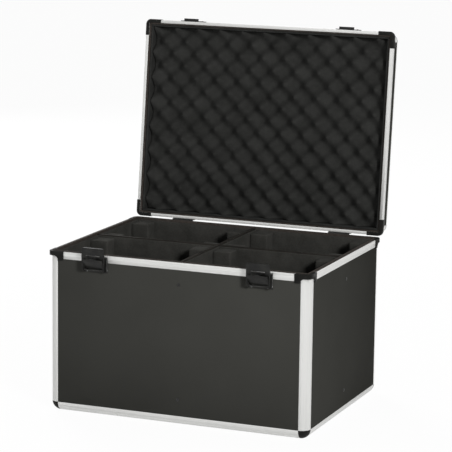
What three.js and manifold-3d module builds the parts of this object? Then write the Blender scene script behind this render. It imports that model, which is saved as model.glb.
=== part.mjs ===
// Lighting flight case: a panelled box with aluminium edge trims, four foam-lined
// compartments, a foam-lined lid on two stop hinges and two draw latches.
// Millimetres, +Z up, the front faces -Y. The origin is the centre of the underside.
import * as THREE from 'three';
import { mergeVertices } from 'three/addons/utils/BufferGeometryUtils.js';
import Module from 'manifold-3d';

const wasm = await Module();
wasm.setup();

// Driving dimensions of the whole case
const caseWidth = 550;
const caseDepth = 416;
const baseHeight = 326;
const lidHeight = 48.5;
const openAngle = THREE.MathUtils.degToRad(96.4);
const panelThickness = 7;

// Gaps between pieces that lie against each other
const seat = 0.3;
const closingGap = 0.4;
const overrun = 1;

// Edge trim: a hollow quarter-round extrusion with a flange behind each panel
const edgeRadius = 19;
const edgeWall = 1.5;
const edgeWeb = 1.2;
const flangeLength = 12;
const lidFlangeGap = 5.5;
const ballWall = 1;
const arcSteps = 8;

// Rim profile round the mouth of the base and of the lid
const rimProud = 0.8;
const lipWidth = 6.3;
const rimTop = 2;
const rimLeg = 12;
const rimBevel = 0.5;
const baseRimFace = 14.5;
const lidRimFace = 11.2;
const tongueHeight = 1.2;
const tongueBevel = 0.4;
const grooveDepth = 3;
const beadHeight = 4;
const beadGroove = 0.6;

// Rim corner: a moulded bracket over each corner of a rim
const bracketLeg = 32;
const bracketWall = 0.9;
const bracketTop = 1;
const bracketDrop = 1;
const bracketRing = 9;
const lobeStart = 20;
const lobeDrop = 3.5;
const lobeBevel = 2;
const cornerRadius = 11;

// Dividers and foam linings of the compartments
const dividerThickness = 7;
const dividerDrop = 2;
const jointPlay = 0.4;
const liningThickness = 3;
const liningDrop = 4;
const blockDrop = 7;
const blockWidth = 38;
const blockDepth = 36;
const blockRadius = 5;

// Convoluted foam of the lid
const foamPitchX = 50;
const foamPitchY = 52.1;
const foamCrestInsetX = 66.6;
const foamCrestInsetY = 15;
const foamMeanDepth = 15;
const foamSwing = 7;
const foamEdgeWidth = 4.2;
const foamEdgeDepth = 4.5;
const foamEdgeStep = 0.6;
const foamStepsPerPitch = 4;

// Hinges: two leaves with stop flanges, and a pin riveted into the base leaf
const hingeInsetLeft = 107;
const hingeInsetRight = 92;
const hingeWidth = 46;
const hingeReach = 5;
const hingeDrop = 2;
const knuckleRadius = 2.9;
const hingePinRadius = 1.5;
const hingePlay = 0.25;
const knuckleShare = 0.5;
const knuckleGap = 0.4;
const leafThickness = 1.6;
const leafLength = 30;
const stopLength = 17;
const stopThickness = 1.6;
const stopGap = 0.15;

// Draw latches and their keepers
const latchInset = 101.5;
const latchPivotOut = 6;
const latchPivotDrop = 30.5;
const latchPinRadius = 1.5;
const plateWidth = 53;
const plateThickness = 1.2;
const plateTopDrop = 3;
const plateBottomDrop = 34.5;
const guardDepth = 4.5;
const guardWall = 1.4;
const earInset = 20.4;
const earWall = 1.2;
const earRadius = 2.8;
const pinPlay = 0.25;
const leverWidth = 42.5;
const leverLength = 25;
const leverWall = 1.2;
const leverRise = 3.1;
const leverSide = 9;
const leverBoss = 3.4;
const leverSideTop = 22.1;
const leverLean = THREE.MathUtils.degToRad(38);
const leverLip = 1.2;
const leverLipLength = 5;
const tabRadius = 6;
const tabReach = 3;
const bailArm = 5;
const bailArmLean = THREE.MathUtils.degToRad(50);
const bailPinRadius = 1.3;
const bailWidth = 48;
const bailWall = 1.3;
const bailRise = 15;
const bailFace = 4.47;
const bailBack = 2.3;
const bailBarHeight = 14.5;
const bailCheekDrop = 20;
const bailWindow = 30;
const bailLegDrop = 26;
const bailHookDepth = 6.1;
const bailHookDrop = 4;
const bailFootRadius = 3.2;
const bailCorner = 3;
const keeperWidth = 48;
const keeperHeight = 26;
const keeperThickness = 1.3;
const keeperOffset = 0.6;
const hookWidth = 32.5;
const hookReach = 7;
const hookHeight = 4;
const hookCorner = 2;

// Places worked out from the driving dimensions
const halfWidth = caseWidth / 2;
const halfDepth = caseDepth / 2;
const slotInner = panelThickness + seat;
const innerFace = slotInner + edgeWeb;
const panelEnd = edgeRadius + seat;
const bracketFace = rimProud + seat + bracketWall;
const linedFace = innerFace + seat;
const hingeAxis = { y: halfDepth + hingeReach, z: baseHeight - hingeDrop };
const hingeXs = { left: hingeInsetLeft - halfWidth, right: halfWidth - hingeInsetRight };
const latchX = halfWidth - latchInset;
const lidFlange = lidHeight - edgeRadius - rimLeg - lidFlangeGap;

function finish(name, rgb, roughness, metalness) {
  return new THREE.MeshStandardMaterial({ name, color: new THREE.Color(...rgb), roughness, metalness });
}
const laminate = finish('laminate', [0.045, 0.045, 0.04], 0.55, 0);
const aluminium = finish('aluminium', [0.72, 0.72, 0.72], 0.35, 0.9);
const moulding = finish('moulding', [0.03, 0.03, 0.03], 0.45, 0);
const blackSteel = finish('black_steel', [0.025, 0.025, 0.025], 0.35, 0.6);
const foam = finish('foam', [0.035, 0.035, 0.037], 0.95, 0);
const plywood = finish('plywood', [0.05, 0.045, 0.04], 0.8, 0);

// Solids: a closed geometry becomes a manifold for a cut or a join, and comes back as a geometry
function solid(geometry) {
  const bare = geometry.clone();
  bare.deleteAttribute('normal');
  bare.deleteAttribute('uv');
  const merged = mergeVertices(bare, 1e-5);
  const mesh = new wasm.Mesh({
    numProp: 3,
    vertProperties: new Float32Array(merged.attributes.position.array),
    triVerts: new Uint32Array(merged.index.array),
  });
  return new wasm.Manifold(mesh);
}

function geometryOf(manifold) {
  const mesh = manifold.getMesh();
  const geometry = new THREE.BufferGeometry();
  geometry.setAttribute('position', new THREE.BufferAttribute(new Float32Array(mesh.vertProperties), 3));
  geometry.setIndex(new THREE.BufferAttribute(new Uint32Array(mesh.triVerts), 1));
  return geometry;
}

// A box between two corners
function block(low, high) {
  const size = high.map((value, i) => value - low[i]);
  const geometry = new THREE.BoxGeometry(...size);
  geometry.translate(...low.map((value, i) => value + size[i] / 2));
  return geometry;
}

function outline(points) {
  return new THREE.Shape(points.map(([x, y]) => new THREE.Vector2(x, y)));
}

function prism(shape, length) {
  return new THREE.ExtrudeGeometry(shape, { depth: length, bevelEnabled: false, curveSegments: arcSteps });
}

// Lays a geometry's x, y and z along three axes of the case, each given as [x, y, z]
function laid(geometry, axisX, axisY, axisZ, origin) {
  const basis = [axisX, axisY, axisZ].map((axis) => new THREE.Vector3(...axis));
  const matrix = new THREE.Matrix4().makeBasis(...basis);
  matrix.setPosition(...origin);
  const result = (geometry.index ? geometry : mergeVertices(geometry)).clone();
  result.applyMatrix4(matrix);
  if (matrix.determinant() < 0) {
    const index = result.index.array;
    for (let i = 0; i < index.length; i += 3) {
      [index[i + 1], index[i + 2]] = [index[i + 2], index[i + 1]];
    }
  }
  return result;
}

// A section in the outward and upward directions, drawn out along X and centred there
function acrossX(points, width, centreX = 0) {
  const shape = points instanceof THREE.Shape ? points : outline(points);
  return laid(prism(shape, width), [0, 1, 0], [0, 0, 1], [1, 0, 0], [centreX - width / 2, 0, 0]);
}

function rodAlongX(radius, from, to, y, z, segments = 16) {
  const geometry = new THREE.CylinderGeometry(radius, radius, to - from, segments);
  geometry.rotateZ(Math.PI / 2);
  geometry.translate((from + to) / 2, y, z);
  return geometry;
}

const nodes = { base: [], lid: [], lever_left: [], lever_right: [], bail_left: [], bail_right: [] };
function add(body, name, geometry, material) {
  const mesh = new THREE.Mesh(geometry, material);
  mesh.name = name;
  nodes[body].push(mesh);
  return mesh;
}

// Edge trim. Its section starts at the case's corner, with x and y running inwards.
function quarterRound(radius) {
  const points = [];
  for (let i = 0; i <= arcSteps; i += 1) {
    const angle = (i / arcSteps) * (Math.PI / 2);
    points.push([edgeRadius - radius * Math.sin(angle), edgeRadius - radius * Math.cos(angle)]);
  }
  return points;
}

function trimBodyShape() {
  return outline([
    ...quarterRound(edgeRadius),
    [innerFace, edgeRadius],
    [innerFace, innerFace],
    [edgeRadius, innerFace],
  ]);
}

function trimHollowShape() {
  const inner = edgeRadius - edgeWall;
  const arc = quarterRound(inner).filter(([x, y]) => x < inner - edgeWall && y < inner - edgeWall);
  return outline([
    [inner, arc[0][1]],
    ...arc,
    [arc[arc.length - 1][0], inner],
    [slotInner, inner],
    [slotInner, slotInner],
    [inner, slotInner],
  ]);
}

function trimFlangeShape(flange) {
  const reach = edgeRadius + flange;
  return outline([
    [slotInner, slotInner],
    [reach, slotInner],
    [reach, innerFace],
    [innerFace, innerFace],
    [innerFace, reach],
    [slotInner, reach],
  ]);
}

// A hollow length of trim along local z, without its flanges
function trimTube(length) {
  const hollow = prism(trimHollowShape(), length + 2 * overrun).translate(0, 0, -overrun);
  return solid(prism(trimBodyShape(), length)).subtract(solid(hollow));
}

// One length of trim along local z, with its flanges stopped short at each end
function edgeTrim(length, flange, startStop, endStop) {
  const legs = prism(trimFlangeShape(flange), length - startStop - endStop).translate(0, 0, startStop);
  return geometryOf(trimTube(length).add(solid(legs)));
}

// A ball corner: an eighth of a hollow sphere, flush with the trims that meet at it
function ballCorner() {
  const [outer, inner] = [edgeRadius, edgeRadius - ballWall].map((radius) => {
    const sphere = new THREE.SphereGeometry(radius, 4 * arcSteps, 2 * arcSteps);
    return solid(sphere.translate(edgeRadius, edgeRadius, edgeRadius));
  });
  const corner = block([-overrun, -overrun, -overrun], Array(3).fill(edgeRadius - seat / 2));
  return outer.subtract(inner).intersect(solid(corner));
}

const trimEnd = edgeRadius + seat / 2;
const signs = { left: -1, right: 1, front: -1, rear: 1 };
const corners = ['front_left', 'front_right', 'rear_left', 'rear_right'].map((name) => {
  const [side, hand] = name.split('_');
  return { name, sx: signs[hand], sy: signs[side] };
});

// A corner piece drawn inwards from the case's corner, z rising from the given level
function atCorner(geometry, { sx, sy }, level, sz = 1) {
  return laid(geometry, [-sx, 0, 0], [0, -sy, 0], [0, 0, sz], [sx * halfWidth, sy * halfDepth, level]);
}

// Base: panels, posts, bottom trims and ball corners
const panelX = halfWidth - panelEnd;
const panelY = halfDepth - panelEnd;
const panelTop = baseHeight - rimTop - seat;

function buildBaseShell() {
  add('base', 'bottom_panel', block([-panelX, -panelY, 0], [panelX, panelY, panelThickness]), laminate);
  for (const side of ['front', 'rear']) {
    const y = signs[side] * halfDepth;
    const low = Math.min(y, y - signs[side] * panelThickness);
    const panel = block([-panelX, low, panelEnd], [panelX, low + panelThickness, panelTop]);
    add('base', `${side}_panel`, panel, laminate);
  }
  for (const side of ['left', 'right']) {
    const x = signs[side] * halfWidth;
    const low = Math.min(x, x - signs[side] * panelThickness);
    const panel = block([low, -panelY, panelEnd], [low + panelThickness, panelY, panelTop]);
    add('base', `${side}_panel`, panel, laminate);
  }
  const flangeStop = flangeLength + seat;
  const postTop = baseHeight - bracketRing - seat;
  const postStop = rimLeg + flangeStop - bracketRing;
  const postTrim = edgeTrim(postTop - trimEnd, flangeLength, flangeStop, postStop);
  for (const corner of corners) {
    add('base', `corner_post_${corner.name}`, atCorner(postTrim, corner, trimEnd), aluminium);
    add('base', `bottom_corner_${corner.name}`, atCorner(geometryOf(ballCorner()), corner, 0), moulding);
  }
  buildEdges('base', 'bottom_edge', flangeLength, 0, 1);
}

// The four horizontal trims round the bottom of the base or the top of the lid
function buildEdges(body, prefix, flange, level, sz) {
  const flangeStop = flange + seat;
  for (const side of ['front', 'rear']) {
    const trim = edgeTrim(2 * (halfWidth - trimEnd), flange, flangeStop, flangeStop);
    const origin = [-(halfWidth - trimEnd), signs[side] * halfDepth, level];
    add(body, `${prefix}_${side}`, laid(trim, [0, -signs[side], 0], [0, 0, sz], [1, 0, 0], origin), aluminium);
  }
  for (const side of ['left', 'right']) {
    const trim = edgeTrim(2 * (halfDepth - trimEnd), flange, flangeStop, flangeStop);
    const origin = [signs[side] * halfWidth, -(halfDepth - trimEnd), level];
    add(body, `${prefix}_${side}`, laid(trim, [-signs[side], 0, 0], [0, 0, sz], [0, 1, 0], origin), aluminium);
  }
}

// Rim section: x runs inwards from the panel's outer face and y away from the mating face
function baseRimSection() {
  const tongueOut = lipWidth - rimProud + seat;
  return [
    [-rimProud + rimBevel, 0],
    [-rimProud, rimBevel],
    [-rimProud, beadHeight],
    [-rimProud + beadGroove / 2, beadHeight + beadGroove / 2],
    [-rimProud, beadHeight + beadGroove],
    [-rimProud, baseRimFace],
    [-seat, baseRimFace],
    [-seat, rimTop],
    [slotInner, rimTop],
    [slotInner, rimLeg],
    [innerFace, rimLeg],
    [innerFace, -tongueHeight + tongueBevel],
    [innerFace - tongueBevel, -tongueHeight],
    [tongueOut + tongueBevel, -tongueHeight],
    [tongueOut, -tongueHeight + tongueBevel],
    [tongueOut, 0],
  ];
}

function lidRimSection() {
  const lipInner = lipWidth - rimProud;
  return [
    [-rimProud + rimBevel, 0],
    [-rimProud, rimBevel],
    [-rimProud, beadHeight],
    [-rimProud + beadGroove / 2, beadHeight + beadGroove / 2],
    [-rimProud, beadHeight + beadGroove],
    [-rimProud, lidRimFace],
    [-seat, lidRimFace],
    [-seat, grooveDepth + rimTop],
    [slotInner, grooveDepth + rimTop],
    [slotInner, rimLeg],
    [innerFace, rimLeg],
    [innerFace, grooveDepth],
    [lipInner, grooveDepth],
    [lipInner, 0],
  ];
}

// Sweeps a rim section round the mouth with mitred corners
function mitredFrame(section) {
  const count = section.length;
  const position = [];
  const cornerSigns = [[-1, -1], [1, -1], [1, 1], [-1, 1]];
  for (const [sx, sy] of cornerSigns) {
    for (const [inward, level] of section) {
      position.push(sx * (halfWidth - inward), sy * (halfDepth - inward), level);
    }
  }
  const index = [];
  for (let corner = 0; corner < 4; corner += 1) {
    const next = (corner + 1) % 4;
    for (let i = 0; i < count; i += 1) {
      const j = (i + 1) % count;
      const [a, b] = [corner * count + i, corner * count + j];
      const [c, d] = [next * count + i, next * count + j];
      index.push(a, d, b, a, c, d);
    }
  }
  const geometry = new THREE.BufferGeometry();
  geometry.setAttribute('position', new THREE.Float32BufferAttribute(position, 3));
  geometry.setIndex(index);
  return geometry;
}

// The plan of the case grown outwards, with rounded corners
function planShape(outward, radius) {
  const [x, y] = [halfWidth + outward, halfDepth + outward];
  const shape = new THREE.Shape();
  shape.moveTo(-x + radius, -y);
  shape.lineTo(x - radius, -y);
  shape.absarc(x - radius, -y + radius, radius, -Math.PI / 2, 0, false);
  shape.lineTo(x, y - radius);
  shape.absarc(x - radius, y - radius, radius, 0, Math.PI / 2, false);
  shape.lineTo(-x + radius, y);
  shape.absarc(-x + radius, y - radius, radius, Math.PI / 2, Math.PI, false);
  shape.lineTo(-x, -y + radius);
  shape.absarc(-x + radius, -y + radius, radius, Math.PI, 1.5 * Math.PI, false);
  return shape;
}

// Rounds the frame's corners, sinks its lip under the brackets and notches it for the posts
function rimFrame(section, tongue) {
  const deepest = baseRimFace + overrun;
  const innerRadius = cornerRadius - bracketWall - seat;
  const rounding = prism(planShape(rimProud, innerRadius), deepest + tongue + overrun);
  rounding.translate(0, 0, -tongue - overrun);
  let frame = solid(mitredFrame(section)).intersect(solid(rounding));
  const reach = bracketLeg + seat;
  const lipStop = lipWidth - rimProud;
  const postCut = edgeRadius + seat;
  for (const corner of corners) {
    const lipRun = block([-reach, -reach, -overrun], [reach, lipStop, bracketTop + seat]);
    const lipSide = block([-reach, -reach, -overrun], [lipStop, reach, bracketTop + seat]);
    const notch = block([-reach, -reach, bracketRing], [postCut, postCut, deepest]);
    for (const cut of [lipRun, lipSide, notch]) {
      frame = frame.subtract(solid(atCorner(cut, corner, 0)));
    }
  }
  return geometryOf(frame);
}

// The front outline of a bracket's leg: a ring over the post and a lobe beside it
function bracketOutline(face) {
  const shape = new THREE.Shape();
  const arch = face + lobeDrop - bracketRing;
  shape.moveTo(-bracketFace - overrun, 0);
  shape.lineTo(bracketLeg, 0);
  shape.lineTo(bracketLeg, face + bracketDrop);
  shape.lineTo(bracketLeg - lobeBevel, face + lobeDrop);
  shape.lineTo(lobeStart, face + lobeDrop);
  shape.absarc(lobeStart - arch, face + lobeDrop, arch, 0, -Math.PI / 2, true);
  shape.lineTo(-bracketFace - overrun, bracketRing);
  return shape;
}

// One bracket, drawn inwards from the corner with z away from the mating face
function rimBracket(face) {
  const depth = face + lobeDrop + 2 * overrun;
  const inward = lipWidth - rimProud;
  const reach = bracketLeg + overrun;
  const envelopePlan = atCorner(prism(planShape(bracketFace, cornerRadius), depth), { sx: 1, sy: 1 }, 0);
  const legX = laid(prism(bracketOutline(face), reach), [1, 0, 0], [0, 0, 1], [0, 1, 0], [0, -overrun * 4, 0]);
  const legY = laid(prism(bracketOutline(face), reach), [0, 1, 0], [0, 0, 1], [1, 0, 0], [-overrun * 4, 0, 0]);
  const underX = block([-reach, -reach, -overrun], [reach, inward, depth]);
  const underY = block([-reach, -reach, -overrun], [inward, reach, depth]);
  const legs = solid(legX).intersect(solid(underX)).add(solid(legY).intersect(solid(underY)));
  const hollowPlan = prism(planShape(rimProud + seat, cornerRadius - bracketWall), depth);
  const hollow = atCorner(hollowPlan.translate(0, 0, bracketTop), { sx: 1, sy: 1 }, 0);
  return geometryOf(solid(envelopePlan).intersect(legs).subtract(solid(hollow)));
}

function buildRim(body, prefix, section, face, tongue, level, sz) {
  const frame = rimFrame(section, tongue);
  add(body, `${prefix}_rim`, laid(frame, [1, 0, 0], [0, 1, 0], [0, 0, sz], [0, 0, level]), aluminium);
  const bracket = rimBracket(face);
  for (const corner of corners) {
    add(body, `${prefix}_rim_corner_${corner.name}`, atCorner(bracket, corner, level, sz), moulding);
  }
}

// Compartments: two halved plywood dividers and a foam lining in each quarter
function buildCompartments() {
  const top = baseHeight - dividerDrop;
  const floor = innerFace + seat;
  const middle = (floor + top) / 2;
  const half = dividerThickness / 2;
  const slot = half + jointPlay / 2;
  const reachX = halfWidth - linedFace;
  const reachY = halfDepth - linedFace;
  const long = solid(block([-reachX, -half, floor], [reachX, half, top]));
  const longSlot = block([-slot, -half - overrun, middle], [slot, half + overrun, top + overrun]);
  add('base', 'divider_long', geometryOf(long.subtract(solid(longSlot))), plywood);
  const cross = solid(block([-half, -reachY, floor], [half, reachY, top]));
  const crossSlot = block([-half - overrun, -slot, floor - overrun], [half + overrun, slot, middle + seat]);
  add('base', 'divider_cross', geometryOf(cross.subtract(solid(crossSlot))), plywood);
  const insert = foamInsert(reachX - half - seat, reachY - half - seat, floor);
  for (const corner of corners) {
    const origin = [corner.sx * reachX, corner.sy * reachY, floor];
    const geometry = laid(insert, [-corner.sx, 0, 0], [0, -corner.sy, 0], [0, 0, 1], origin);
    add('base', `foam_insert_${corner.name}`, geometry, foam);
  }
}

// A lining on four walls and the floor, with a padded block in each corner
function foamInsert(width, depth, floor) {
  const liningTop = baseHeight - liningDrop - floor;
  const blockTop = baseHeight - blockDrop - floor;
  const tray = solid(block([0, 0, 0], [width, depth, liningTop]));
  const low = [liningThickness, liningThickness, liningThickness];
  const high = [width - liningThickness, depth - liningThickness, liningTop + overrun];
  let insert = tray.subtract(solid(block(low, high)));
  const shape = new THREE.Shape();
  const [reachX, reachY] = [liningThickness + blockWidth, liningThickness + blockDepth];
  shape.moveTo(liningThickness / 2, liningThickness / 2);
  shape.lineTo(reachX, liningThickness / 2);
  shape.lineTo(reachX, reachY - blockRadius);
  shape.absarc(reachX - blockRadius, reachY - blockRadius, blockRadius, 0, Math.PI / 2, false);
  shape.lineTo(liningThickness / 2, reachY);
  const pad = prism(shape, blockTop - liningThickness / 2).translate(0, 0, liningThickness / 2);
  for (const [sx, sy] of [[1, 1], [-1, 1], [1, -1], [-1, -1]]) {
    const origin = [sx > 0 ? 0 : width, sy > 0 ? 0 : depth, 0];
    insert = insert.add(solid(laid(pad, [sx, 0, 0], [0, sy, 0], [0, 0, 1], origin)));
  }
  return geometryOf(insert);
}

// Lid: drawn closed, with z rising from its mating face
const lidPanelInner = lidHeight - panelThickness;

function buildLidShell() {
  add('lid', 'lid_top_panel', block([-panelX, -panelY, lidPanelInner], [panelX, panelY, lidHeight]), laminate);
  const stripLow = grooveDepth + rimTop + seat;
  const stripHigh = lidHeight - panelEnd;
  for (const side of ['front', 'rear']) {
    const y = signs[side] * halfDepth;
    const low = Math.min(y, y - signs[side] * panelThickness);
    const strip = block([-panelX, low, stripLow], [panelX, low + panelThickness, stripHigh]);
    add('lid', `lid_${side}_panel`, strip, laminate);
  }
  for (const side of ['left', 'right']) {
    const x = signs[side] * halfWidth;
    const low = Math.min(x, x - signs[side] * panelThickness);
    const strip = block([low, -panelY, stripLow], [low + panelThickness, panelY, stripHigh]);
    add('lid', `lid_${side}_panel`, strip, laminate);
  }
  buildEdges('lid', 'lid_edge', lidFlange, lidHeight, -1);
  const postLength = lidHeight - edgeRadius - bracketRing;
  const cap = ballCorner().add(trimTube(postLength).translate(0, 0, edgeRadius - seat));
  for (const corner of corners) {
    add('lid', `lid_corner_${corner.name}`, atCorner(geometryOf(cap), corner, lidHeight, -1), aluminium);
  }
}

// Egg-crate foam glued into the lid, with a flat lined border
function foamDepth(x, y) {
  const [borderX, borderY] = [halfWidth - linedFace - foamEdgeWidth, halfDepth - linedFace - foamEdgeWidth];
  if (Math.abs(x) > borderX - foamEdgeStep / 2 || Math.abs(y) > borderY - foamEdgeStep / 2) {
    return foamEdgeDepth;
  }
  const waveX = Math.cos((2 * Math.PI * (x + halfWidth - foamCrestInsetX)) / foamPitchX);
  const waveY = Math.cos((2 * Math.PI * (y + halfDepth - foamCrestInsetY)) / foamPitchY);
  return foamMeanDepth - foamSwing * waveX * waveY;
}

function foamStations(reach, pitch, crest) {
  const border = reach - foamEdgeWidth;
  const inner = border - foamEdgeStep;
  const step = pitch / foamStepsPerPitch;
  const stations = [-reach, -border, -inner];
  const first = Math.ceil((-inner - crest + step / 4) / step);
  for (let i = first; crest + i * step < inner - step / 4; i += 1) {
    stations.push(crest + i * step);
  }
  return [...stations, inner, border, reach];
}

function buildLidFoam() {
  const xs = foamStations(halfWidth - linedFace, foamPitchX, foamCrestInsetX - halfWidth);
  const ys = foamStations(halfDepth - linedFace, foamPitchY, foamCrestInsetY - halfDepth);
  const back = lidPanelInner - edgeWeb - 2 * seat;
  const position = [];
  for (const level of [null, back]) {
    for (const y of ys) {
      for (const x of xs) {
        position.push(x, y, level ?? foamDepth(x, y));
      }
    }
  }
  const [columns, rows] = [xs.length, ys.length];
  const at = (layer, row, column) => layer * rows * columns + row * columns + column;
  const index = [];
  const quad = (a, b, c, d) => index.push(a, b, c, a, c, d);
  for (let row = 0; row < rows - 1; row += 1) {
    for (let column = 0; column < columns - 1; column += 1) {
      const [a, b] = [at(0, row, column), at(0, row, column + 1)];
      const [c, d] = [at(0, row + 1, column + 1), at(0, row + 1, column)];
      quad(a, d, c, b);
    }
  }
  const ring = [];
  for (let column = 0; column < columns - 1; column += 1) ring.push([0, column]);
  for (let row = 0; row < rows - 1; row += 1) ring.push([row, columns - 1]);
  for (let column = columns - 1; column > 0; column -= 1) ring.push([rows - 1, column]);
  for (let row = rows - 1; row > 0; row -= 1) ring.push([row, 0]);
  ring.forEach(([row, column], i) => {
    const [nextRow, nextColumn] = ring[(i + 1) % ring.length];
    quad(at(0, row, column), at(0, nextRow, nextColumn), at(1, nextRow, nextColumn), at(1, row, column));
  });
  const centre = position.length / 3;
  position.push(0, 0, back);
  ring.forEach(([row, column], i) => {
    const [nextRow, nextColumn] = ring[(i + 1) % ring.length];
    index.push(centre, at(1, row, column), at(1, nextRow, nextColumn));
  });
  const geometry = new THREE.BufferGeometry();
  geometry.setAttribute('position', new THREE.Float32BufferAttribute(position, 3));
  geometry.setIndex(index);
  add('lid', 'lid_foam', geometryOf(solid(geometry)), foam);
}

// Hinge leaf for the base, about the pin: x outwards from the case's rear, y up.
// The lid's leaf is the same shape upside down.
function leafSection(rimEnd) {
  const overRim = hingeReach - rimProud - seat;
  const overPanel = hingeReach - seat;
  return [
    [-overRim, 0],
    [-overRim, -rimEnd - seat],
    [-overPanel, -rimEnd - seat],
    [-overPanel, -leafLength],
    [-overPanel + leafThickness, -leafLength],
    [-overPanel + leafThickness, -rimEnd - seat - leafThickness],
    [-overRim + leafThickness, -rimEnd - seat],
    [-overRim + leafThickness, 0],
  ];
}

function hingeLeaf(rimEnd, outerKnuckles) {
  const half = hingeWidth / 2;
  const middle = (hingeWidth * knuckleShare) / 2;
  const clear = knuckleRadius + knuckleGap;
  const plate = acrossX(leafSection(rimEnd), hingeWidth);
  const flange = outline([
    [0, -stopGap - stopThickness],
    [stopLength, -stopGap - stopThickness],
    [stopLength, -stopGap],
    [0, -stopGap],
  ]);
  const along = [0, Math.cos(openAngle / 2), -Math.sin(openAngle / 2)];
  const across = [0, Math.sin(openAngle / 2), Math.cos(openAngle / 2)];
  const radial = laid(prism(flange, hingeWidth), along, across, [1, 0, 0], [-half, 0, 0]);
  let leaf = solid(plate).add(solid(radial));
  const zones = outerKnuckles ? [[-half, -middle], [middle, half]] : [[-middle, middle]];
  const others = outerKnuckles ? [[-middle, middle]] : [[-half, -middle], [middle, half]];
  for (const [from, to] of others) {
    const low = from === -half ? from - overrun : from - knuckleGap;
    const high = to === half ? to + overrun : to + knuckleGap;
    leaf = leaf.subtract(solid(rodAlongX(clear, low, high, 0, 0)));
  }
  for (const [from, to] of zones) {
    leaf = leaf.add(solid(rodAlongX(knuckleRadius, from, to, 0, 0)));
  }
  if (outerKnuckles) {
    return leaf.add(solid(rodAlongX(hingePinRadius, -half, half, 0, 0)));
  }
  return leaf.subtract(solid(rodAlongX(hingePinRadius + hingePlay, -half, half, 0, 0)));
}

function buildHinges() {
  const lidToAxis = hingeDrop + closingGap;
  for (const [hand, x] of Object.entries(hingeXs)) {
    const baseLeaf = geometryOf(hingeLeaf(baseRimFace - hingeDrop, true));
    const placed = laid(baseLeaf, [1, 0, 0], [0, 1, 0], [0, 0, 1], [x, hingeAxis.y, hingeAxis.z]);
    add('base', `hinge_base_leaf_${hand}`, placed, blackSteel);
    const lidLeaf = geometryOf(hingeLeaf(lidRimFace + lidToAxis, false));
    const origin = [x, hingeAxis.y, -lidToAxis];
    add('lid', `hinge_lid_leaf_${hand}`, laid(lidLeaf, [1, 0, 0], [0, 1, 0], [0, 0, -1], origin), blackSteel);
  }
}

// Latches. Sections are drawn from the lever's pivot: x outwards from the case, y up.
const pivot = { out: latchPivotOut, z: baseHeight - latchPivotDrop };
const arm = { out: bailArm * Math.sin(bailArmLean), up: bailArm * Math.cos(bailArmLean) };

// Lays a latch piece drawn as x across, y outwards and z up onto the front at a latch's place
function atLatch(geometry, x, level) {
  return laid(geometry, [-1, 0, 0], [0, -1, 0], [0, 0, 1], [x, -halfDepth, level]);
}

function sideWall(shape, inner, wall) {
  const walls = [-inner - wall, inner].map((x) => (
    solid(laid(prism(shape, wall), [0, 1, 0], [0, 0, 1], [1, 0, 0], [x, 0, 0]))
  ));
  return walls[0].add(walls[1]);
}

// Back plate with guard walls, ears and the lever's riveted pin
function latchPlate() {
  const overRim = rimProud + seat;
  const face = overRim + plateThickness;
  const rimLow = -baseRimFace - seat;
  const section = [
    [seat, -plateBottomDrop],
    [seat + plateThickness, -plateBottomDrop],
    [seat + plateThickness, rimLow - plateThickness],
    [face, rimLow],
    [face, -plateTopDrop],
    [overRim, -plateTopDrop],
    [overRim, rimLow],
    [seat, rimLow],
  ];
  const plate = solid(acrossX(section, plateWidth));
  const guard = outline([
    [seat, -plateBottomDrop],
    [guardDepth, -plateBottomDrop + guardDepth],
    [guardDepth, -plateTopDrop - guardDepth],
    [overRim, -plateTopDrop],
    [overRim, rimLow],
    [seat, rimLow],
  ]);
  const guards = sideWall(guard, plateWidth / 2 - guardWall, guardWall);
  const ear = new THREE.Shape();
  ear.moveTo(seat, -latchPivotDrop - earRadius);
  ear.lineTo(pivot.out, -latchPivotDrop - earRadius);
  ear.absarc(pivot.out, -latchPivotDrop, earRadius, -Math.PI / 2, Math.PI * 5 / 6, false);
  ear.lineTo(seat, -latchPivotDrop + earRadius / 2);
  const ears = sideWall(ear, earInset - earWall, earWall);
  const rod = rodAlongX(latchPinRadius, -leverSideTop, leverSideTop, pivot.out, -latchPivotDrop);
  return geometryOf(plate.add(guards).add(ears).add(solid(rod)));
}

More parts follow.
